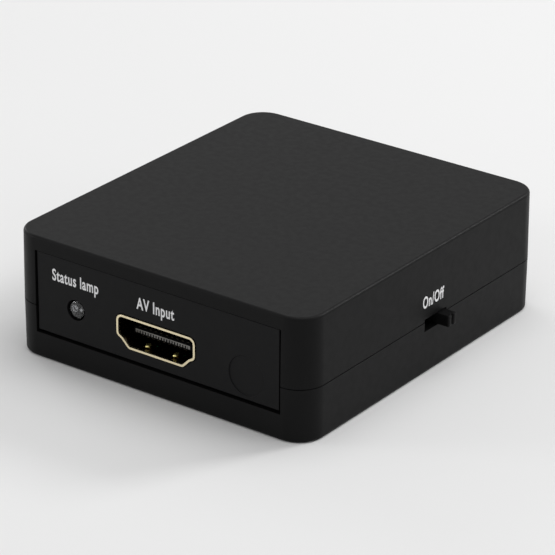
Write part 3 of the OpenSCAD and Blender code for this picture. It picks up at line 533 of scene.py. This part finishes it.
class SPLITTER_OT_sockets(bpy.types.Operator):
    """Three sockets: plated shells with dimpled springs, black tongues and rows of contacts"""
    bl_idname = "splitter.sockets"
    bl_label = "Sockets"

    TEETH = 19
    TOOTH_PITCH = 0.5 * MM
    TOOTH = (0.24 * MM, 0.42 * MM)
    SPINE = (10.2 * MM, 0.14 * MM)
    END_WIDTH = 0.34 * MM
    TOOTH_PROUD = 0.02 * MM
    SPINE_PROUD = 0.03 * MM
    COMB_RISE = 0.06 * MM
    SPRING_ASIDE = 2.6 * MM
    CREST_BEHIND = 2.2 * MM
    CREST_REACH = 0.8 * MM
    DIMPLE = (0.45 * MM, 0.65 * MM, 0.30 * MM)
    DIMPLE_AHEAD = 0.5 * MM
    DIMPLE_SINK = 0.12 * MM
    FRONT_REACH = 0.01 * MM
    BOX_CORNERS = [(i, j, k) for i in (-0.5, 0.5) for j in (-1.0, 1.0) for k in (-0.5, 0.5)]
    BOX_FACES = [(0, 1, 3, 2), (4, 6, 7, 5), (0, 4, 5, 1), (2, 3, 7, 6), (0, 2, 6, 4), (1, 5, 7, 3)]

    def execute(self, context):
        """Dresses each socket; inward is 1 where going in is along +y, and -1 where it is along -y."""
        for name in SOCKETS:
            low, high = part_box(name + "_shell")
            inward = 1.0 if name == "input" else -1.0
            mouth = low.y if name == "input" else high.y
            middle = (low.x + high.x) / 2
            # the shell's plating carries painted shade behind the mouth
            plating = socket_plating_with_painted_shade(name + "_plating", mouth, inward)
            bevelled_copy(name + "_shell", CASE, plating, sizes().sheet_bevel)
            bevelled_copy(name + "_insulator", CASE, insulator_plastic(), sizes().plastic_bevel)
            # the socket contacts carry painted shade
            dress(name + "_contacts", socket_contact_plate())
            front, tongue = self.tongue(name)
            self.contact_comb(name, middle, front, tongue)
            self.spring_dimples(name, middle, mouth, inward, tongue)
        return {"FINISHED"}

    def tongue(self, name):
        """Place along y of the tongue's front and the height of its middle, both from the insulator's points
        that lie within FRONT_REACH of its foremost one."""
        co = points_of(name + "_insulator")
        reach = np.abs(co[:, 1])
        front = co[reach > reach.max() - self.FRONT_REACH]
        return front[:, 1].mean(), (front[:, 2].min() + front[:, 2].max()) / 2

    def contact_comb(self, name, middle, front, tongue):
        """The pale comb in the front of the tongue: an upright tooth for each contact under a thin spine, and
        a wider tooth at each end. Each is a thin box: its centre plus or minus half its width and height, and
        along y plus or minus how far it stands proud."""
        tooth_w, tooth_h = self.TOOTH
        spine_w, spine_h = self.SPINE
        upright = self.TEETH + 2
        teeth = (np.arange(self.TEETH) - (self.TEETH - 1) / 2) * self.TOOTH_PITCH
        ends = (spine_w - self.END_WIDTH) / 2 * np.array([-1.0, 1.0])
        x = middle + np.concatenate([teeth, ends, [0.0]])
        width = np.concatenate([np.full(self.TEETH, tooth_w), np.full(2, self.END_WIDTH), [spine_w]])
        proud = np.append(np.full(upright, self.TOOTH_PROUD), self.SPINE_PROUD)
        height = np.append(np.full(upright, tooth_h + spine_h), spine_h)
        top = tongue + self.COMB_RISE + (tooth_h + spine_h) / 2
        size = np.stack([width, proud, height], 1)
        centre = np.stack([x, np.full(len(x), front), top - height / 2], 1)
        points = np.array(self.BOX_CORNERS) * size[:, None] + centre[:, None]
        faces = repeated(self.BOX_FACES, len(self.BOX_CORNERS), len(x))
        new_piece(name + "_contact_comb", points.reshape(-1, 3), faces, comb_plate())

    def spring_dimples(self, name, middle, mouth, inward, tongue):
        """The stamped dimples on the crests of the springs, two below the tongue and two above it. Each is an
        ellipsoid (a cos u cos v, b sin u cos v, c sin v), more than half sunk in its spring."""
        steps = sizes().round_steps // 2
        ball = ball_points(steps)
        low, high = self.crest_heights(name, middle, mouth, inward, tongue)
        y = mouth + inward * (self.CREST_BEHIND - self.DIMPLE_AHEAD)
        centre = np.array([(middle + side * self.SPRING_ASIDE, y, z) for side in (-1, 1)
                           for z in (low - self.DIMPLE_SINK, high + self.DIMPLE_SINK)])
        points = ball * np.array(self.DIMPLE) + centre[:, None]
        faces = repeated(grid_faces(steps // 2 + 1, steps), len(ball), len(centre))
        new_piece(name + "_spring_dimples", points.reshape(-1, 3), faces, spring_plate())

    def crest_heights(self, name, middle, mouth, inward, tongue):
        """Heights of the lower and the upper springs' crests: the highest point of the lower ones and the
        lowest of the upper ones, among the shell's points within CREST_REACH of where the crests are."""
        co = points_of(name + "_shell")
        aside = np.abs(np.abs(co[:, 0] - middle) - self.SPRING_ASIDE)
        behind = np.abs((co[:, 1] - mouth) * inward - self.CREST_BEHIND)
        z = co[(aside < self.CREST_REACH) & (behind < self.CREST_REACH), 2]
        return z[z < tongue].max(), z[z > tongue].min()


class SPLITTER_OT_inlet(bpy.types.Operator):
    """Power inlet on the left side"""
    bl_idname = "splitter.inlet"
    bl_label = "Power inlet"

    def execute(self, context):
        """Dresses the inlet."""
        bevelled_copy("power_inlet_shell", CASE, tin_plate(), sizes().plastic_bevel)
        dress("power_inlet_insulator", insulator_plastic())
        dress("power_inlet_contacts", contact_plate())
        return {"FINISHED"}


class SPLITTER_OT_lamp(bpy.types.Operator):
    """Power lamp: a clear lens over its reflector cup and post, its wires and its holder"""
    bl_idname = "splitter.lamp"
    bl_label = "Power lamp"

    BARREL_SHARE = 0.72
    RIM_THICKNESS = 1.0 * MM
    DOME = 0.35 * MM
    DOME_STEPS = 14
    PROUD = 0.1 * MM
    LEAD_ASIDE = 0.5 * MM
    STEM_SHORT = 0.1 * MM
    # Radius and place behind the front, in millimetres, of each point of a lead's head
    CUP_BEHIND = 0.9 * MM
    CUP_MM = ((0.0, 0.30), (0.14, 0.30), (0.14, 0.40), (0.24, 0.40), (0.40, 0.0), (0.46, 0.0), (0.46, 0.60),
              (0.22, 0.90))
    POST_BEHIND = 0.8 * MM
    POST_MM = ((0.0, 0.0), (0.20, 0.0), (0.26, 0.06), (0.26, 0.50), (0.16, 0.80))

    def execute(self, context):
        """Makes the lens and its two leads, and dresses the rest."""
        low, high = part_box("power_lamp_lens")
        centre = np.array([(low.x + high.x) / 2, 0.0, (low.z + high.z) / 2])
        lens = self.turned("lamp_lens", self.lens_profile(low, high), centre, lens_resin(), "lamp_resin")
        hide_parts("power_lamp_lens")
        silver = plated_metal("cup_plating", finishes().cup, rough=0.22, tarnish=0.85)
        cup = self.lead_profile(self.CUP_MM, low.y + self.CUP_BEHIND, high.y)
        post = self.lead_profile(self.POST_MM, low.y + self.POST_BEHIND, high.y)
        aside = np.array([self.LEAD_ASIDE, 0.0, 0.0])
        self.turned("lamp_cup", cup, centre - aside, silver, "tinned_steel")
        self.turned("lamp_post", post, centre + aside, silver, "tinned_steel")
        dress("power_lamp_wires", tin_plate())
        dress("power_lamp_holder", insulator_plastic())
        return {"FINISHED"}

    def turned(self, name, profile, centre, material, slot):
        """A piece turned about a line along y through centre."""
        steps = sizes().round_steps
        points = turned_points(profile, steps) + centre
        return new_piece(name, points, grid_faces(len(profile), steps), material)

    def lens_profile(self, low, high):
        """Radius and place along the axis of the lens: a rim, a straight barrel and a shallow cap. The cap is
        part of a sphere, (R sin a, tip + R (1 - cos a)) from its rim to a = 0, with R = (r r + d d) / 2 d for
        the barrel's radius r and the cap's depth d."""
        rim = (high.x - low.x) / 2
        r = rim * self.BARREL_SHARE
        tip = low.y - self.PROUD
        dome_r = (r * r + self.DOME * self.DOME) / (2 * self.DOME)
        a = np.linspace(math.asin(r / dome_r), 0.0, self.DOME_STEPS)
        dome = np.stack([dome_r * np.sin(a), tip + dome_r * (1 - np.cos(a))], 1)
        step = high.y - self.RIM_THICKNESS
        return np.concatenate([[[0.0, high.y], [rim, high.y], [rim, step], [r, step]], dome])

    def lead_profile(self, head_mm, front, base):
        """Radius and place along the axis of a lead: its head, given in millimetres behind its front, and a
        stem of the head's last radius that runs back almost to the base."""
        head = np.array(head_mm) * MM + np.array([0.0, front])
        back = base - self.STEM_SHORT
        return np.concatenate([head, [[head[-1, 0], back], [0.0, back]]])


class SPLITTER_OT_switch(bpy.types.Operator):
    """Slide switch: its knob, spring contact, frame, base and terminals"""
    bl_idname = "splitter.switch"
    bl_label = "Switch"

    def execute(self, context):
        """Dresses the switch."""
        material = moulded_plastic("knob_plastic", finishes().knob, rough=0.5, grain_per_mm=10.0,
                                   grain_depth=0.004 * MM, variation=0.03, specular=0.1)
        bevelled_copy("switch_slider", SLIDER, material, sizes().knob_bevel)
        dress("switch_contact", contact_plate())
        dress("switch_terminals", contact_plate())
        dress("switch_frame", tin_plate())
        dress("switch_base", insulator_plastic())
        return {"FINISHED"}


class SPLITTER_OT_screws(bpy.types.Operator):
    """Blackened screws in the underside"""
    bl_idname = "splitter.screws"
    bl_label = "Screws"

    def execute(self, context):
        """Dresses the screws."""
        material = plated_metal("screw_plating", finishes().screw, rough=0.35, tarnish=0.7)
        bevelled_copy("case_screws", CASE, material, sizes().screw_bevel)
        return {"FINISHED"}


class SPLITTER_OT_electronics(bpy.types.Operator):
    """Circuit board and what is soldered to it"""
    bl_idname = "splitter.electronics"
    bl_label = "Electronics"

    RESIN = ("splitter_chip", "memory_chip", "regulator", "power_coil", "can_capacitor_bases", "resistors")
    TINNED = ("splitter_chip_leads", "memory_chip_leads", "regulator_leads", "crystal_can", "can_capacitors")

    def execute(self, context):
        """Dresses the board and its parts."""
        dress("circuit_board", lacquered_board())
        for node in self.RESIN:
            dress(node, chip_resin())
        for node in self.TINNED:
            dress(node, tin_plate())
        dress("ceramic_capacitors", fired_ceramic())
        return {"FINISHED"}


class SPLITTER_OT_lettering(bpy.types.Operator):
    """Generic words printed over the lamp, the input socket and the switch"""
    bl_idname = "splitter.lettering"
    bl_label = "Lettering"

    CONDENSED = 0.66
    WEIGHT = 0.02
    SPACING = 1.1
    CAPITAL = 0.7
    HALF_DEPTH = 0.5
    CURVE_STEPS = 6
    OVER_LAMP = 13.7 * MM
    OVER_SOCKET = 13.55 * MM
    OVER_SWITCH = 11.1 * MM
    SWITCH_WORDS_Y = 1.4 * MM
    SEAM = 8.6 * MM
    SIDE_LEAN = math.tan(math.radians(0.5))

    def execute(self, context):
        """Prints the three words."""
        ink = printed_ink()
        words = context.scene.splitter_words
        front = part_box("front_panel")[0].y
        right, back = np.array([1.0, 0.0, 0.0]), np.array([0.0, 1.0, 0.0])
        lamp = (self.middle("power_lamp_lens"), front, self.OVER_LAMP)
        socket = (self.middle("input_shell"), front, self.OVER_SOCKET)
        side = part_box("top_cover")[1].x - (self.OVER_SWITCH - self.SEAM) * self.SIDE_LEAN
        switch = (side, self.SWITCH_WORDS_Y, self.OVER_SWITCH)
        self.printed("lamp_words", words.lamp, ink, right, lamp, 0.0)
        self.printed("socket_words", words.socket, ink, right, socket, 0.0)
        self.printed("switch_words", words.switch, ink, back, switch, self.SIDE_LEAN)
        return {"FINISHED"}

    def middle(self, node):
        """A node's middle along x."""
        low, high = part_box(node)
        return (low.x + high.x) / 2

    def outlined(self, name, words):
        """Words as a mesh in the font's own units, from HALF_DEPTH below its plane to HALF_DEPTH above it."""
        text = bpy.data.curves.new(name, "FONT")
        text.body = words
        text.offset = self.WEIGHT
        text.space_character = self.SPACING
        text.extrude = self.HALF_DEPTH
        text.resolution_u = self.CURVE_STEPS
        holder = bpy.data.objects.new(name + "_outline", text)
        bpy.context.scene.collection.objects.link(holder)
        mesh = bpy.data.meshes.new_from_object(holder.evaluated_get(bpy.context.evaluated_depsgraph_get()))
        bpy.data.objects.remove(holder)
        bpy.data.curves.remove(text)
        return mesh

    def printed(self, name, words, ink, across, foot, lean):
        """Words as a thin mesh on an upright face: scaled so that a capital, which is CAPITAL high in the
        font's units, is letter_height high, then condensed, centred over foot, and leaned back by lean for
        each metre up."""
        mesh = self.outlined(name, words)
        co = coordinates(mesh)
        up = np.array([0.0, 0.0, 1.0])
        scale = sizes().letter_height / self.CAPITAL
        x = (co[:, 0] - (co[:, 0].min() + co[:, 0].max()) / 2) * scale * self.CONDENSED
        z = co[:, 1] * scale
        out = (co[:, 2] + self.HALF_DEPTH) * sizes().ink_thickness - z * lean
        place = np.array(foot) + np.outer(x, across) + np.outer(z, up) + np.outer(out, np.cross(across, up))
        mesh.vertices.foreach_set("co", place.ravel())
        mesh.update()
        finished(name, closed(mesh), CASE, ink, SMOOTH_INK)


class SPLITTER_OT_stage(bpy.types.Operator):
    """Pale floor, soft lamps and the camera"""
    bl_idname = "splitter.stage"
    bl_label = "Stage"

    # Name, place, side and power in watts
    LAMPS = (
        ("lamp_over", (0.10, 0.10, 0.80), 0.7, 3.2),
        ("lamp_right", (0.75, 0.15, 0.35), 0.5, 0.5),
        ("lamp_left", (-0.80, 0.30, 0.30), 0.4, 1.2),
        ("lamp_behind", (0.42, 0.72, 0.54), 0.22, 3.2),
        ("lamp_front", (-0.75, -0.55, 0.25), 0.25, 1.3),
    )
    LAMP_AIM = Vector((0.0, 0.0, 10.0 * MM))
    FLOOR_CORNERS = ((-0.5, -0.5, 0.0), (0.5, -0.5, 0.0), (0.5, 0.5, 0.0), (-0.5, 0.5, 0.0))
    FLOOR_FADE = (0.25, 1.2)
    FLOOR_PER_M = 3.0
    FLOOR_WEAR = 0.03
    WORN_FLOOR = (0.5, 0.5, 0.5)
    PICTURE_PIXELS = 555
    SENSOR_MM = 36.0

    def execute(self, context):
        """Makes the floor, the sky, the lamps and the camera."""
        stage = context.scene.splitter_stage
        self.floor(stage)
        self.sky(context.scene, stage)
        for lamp in self.LAMPS:
            self.lamp(*lamp)
        self.camera(context.scene, stage)
        return {"FINISHED"}

    def floor(self, stage):
        """A square floor at z = 0, in its own paint."""
        mesh = bpy.data.meshes.new("floor")
        mesh.from_pydata((np.array(self.FLOOR_CORNERS) * stage.floor_size).tolist(), [], [(0, 1, 2, 3)])
        mesh.materials.append(self.floor_paint(stage))
        floor = bpy.data.objects.new("floor", mesh)
        bpy.context.scene.collection.objects.link(floor)

    def floor_paint(self, stage):
        """Pale, a little uneven, and fading into the backdrop far from the object, so no horizon shows."""
        material, tree, shader, place = started("floor_paint", {"Roughness": 0.9})
        seen = looked_at(tree)
        paint = blended(tree, seen, stage.floor, stage.floor_seen)
        wear = spread(tree, noise(tree, place, self.FLOOR_PER_M), 0.0, self.FLOOR_WEAR)
        tree.links.new(blended(tree, wear, paint, self.WORN_FLOOR), shader.inputs["Base Color"])
        far = node_of(tree, "ShaderNodeVectorMath", {0: place}, operation="LENGTH").outputs["Value"]
        fade = reckoned(tree, "MULTIPLY", seen, spread(tree, far, 0.0, 1.0, *self.FLOOR_FADE))
        glow = node_of(tree, "ShaderNodeEmission", {"Strength": stage.backdrop}).outputs["Emission"]
        joined = node_of(tree, "ShaderNodeMixShader", {0: fade, 1: shader.outputs["BSDF"], 2: glow})
        tree.links.new(joined.outputs["Shader"], tree.nodes["Material Output"].inputs["Surface"])
        return material

    def sky(self, scene, stage):
        """A pale world: the backdrop's strength where it is looked at, less as a light."""
        world = bpy.data.worlds.new("studio")
        world.use_nodes = True
        scene.world = world
        tree = world.node_tree
        shader = tree.nodes["Background"]
        shader.inputs["Color"].default_value = (1.0, 1.0, 1.0, 1.0)
        strength = spread(tree, looked_at(tree), stage.sky, stage.backdrop, 0.0, 1.0)
        tree.links.new(strength, shader.inputs["Strength"])

    def lamp(self, name, place, size, watts):
        """A square soft lamp aimed at the object."""
        light = bpy.data.lights.new(name, "AREA")
        light.size = size
        light.energy = watts
        lamp = bpy.data.objects.new(name, light)
        lamp.location = place
        lamp.rotation_euler = (self.LAMP_AIM - lamp.location).to_track_quat("-Z", "Y").to_euler()
        bpy.context.scene.collection.objects.link(lamp)

    def camera(self, scene, stage):
        """The camera stands off its aim point along its azimuth and elevation and moves in its own plane."""
        azimuth, elevation, roll = (math.radians(v) for v in (stage.azimuth, stage.elevation, stage.roll))
        level = Vector((math.cos(azimuth), math.sin(azimuth), 0.0))
        outward = Vector((math.sin(azimuth), -math.cos(azimuth), 0.0))
        back = outward * math.cos(elevation) + Vector((0.0, 0.0, math.sin(elevation)))
        upright = back.cross(level)
        right = level * math.cos(roll) + upright * math.sin(roll)
        up = upright * math.cos(roll) - level * math.sin(roll)
        aim = Vector((0.0, 0.0, stage.aim_height)) + right * stage.across + up * stage.upward
        data = bpy.data.cameras.new("camera")
        data.sensor_width = self.SENSOR_MM
        data.lens = stage.focal_pixels * self.SENSOR_MM / self.PICTURE_PIXELS
        camera = bpy.data.objects.new("camera", data)
        scene.collection.objects.link(camera)
        turn = Matrix((right, up, back)).transposed().to_4x4()
        camera.matrix_world = Matrix.Translation(aim + back * stage.distance) @ turn
        scene.camera = camera
        scene.view_settings.view_transform = "Standard"


# Add-on

PIECES = (SPLITTER_OT_covers, SPLITTER_OT_panels, SPLITTER_OT_sockets, SPLITTER_OT_inlet, SPLITTER_OT_lamp,
          SPLITTER_OT_switch, SPLITTER_OT_screws, SPLITTER_OT_electronics, SPLITTER_OT_lettering,
          SPLITTER_OT_stage)
GROUPS = {"splitter_finishes": SplitterFinishes, "splitter_sizes": SplitterSizes,
          "splitter_words": SplitterWords, "splitter_stage": SplitterStage}


class SPLITTER_PT_build(bpy.types.Panel):
    """Lists the pieces to build"""
    bl_idname = "SPLITTER_PT_build"
    bl_label = "Signal splitter"
    bl_space_type = "VIEW_3D"
    bl_region_type = "UI"
    bl_category = "Splitter"

    def draw(self, context):
        """One button for each group of pieces."""
        for piece in PIECES:
            self.layout.operator(piece.bl_idname)


def register():
    """Registers the groups, the operators and the panel."""
    for group in GROUPS.values():
        bpy.utils.register_class(group)
    for name, group in GROUPS.items():
        setattr(bpy.types.Scene, name, PointerProperty(type=group))
    for piece in (*PIECES, SPLITTER_PT_build):
        bpy.utils.register_class(piece)


def unregister():
    """Takes away what register added."""
    for piece in (SPLITTER_PT_build, *reversed(PIECES)):
        bpy.utils.unregister_class(piece)
    for name, group in GROUPS.items():
        delattr(bpy.types.Scene, name)
        bpy.utils.unregister_class(group)


def main():
    register()
    for piece in PIECES:
        group, name = piece.bl_idname.split(".")
        getattr(getattr(bpy.ops, group), name)()


if __name__ == "__main__":
    main()
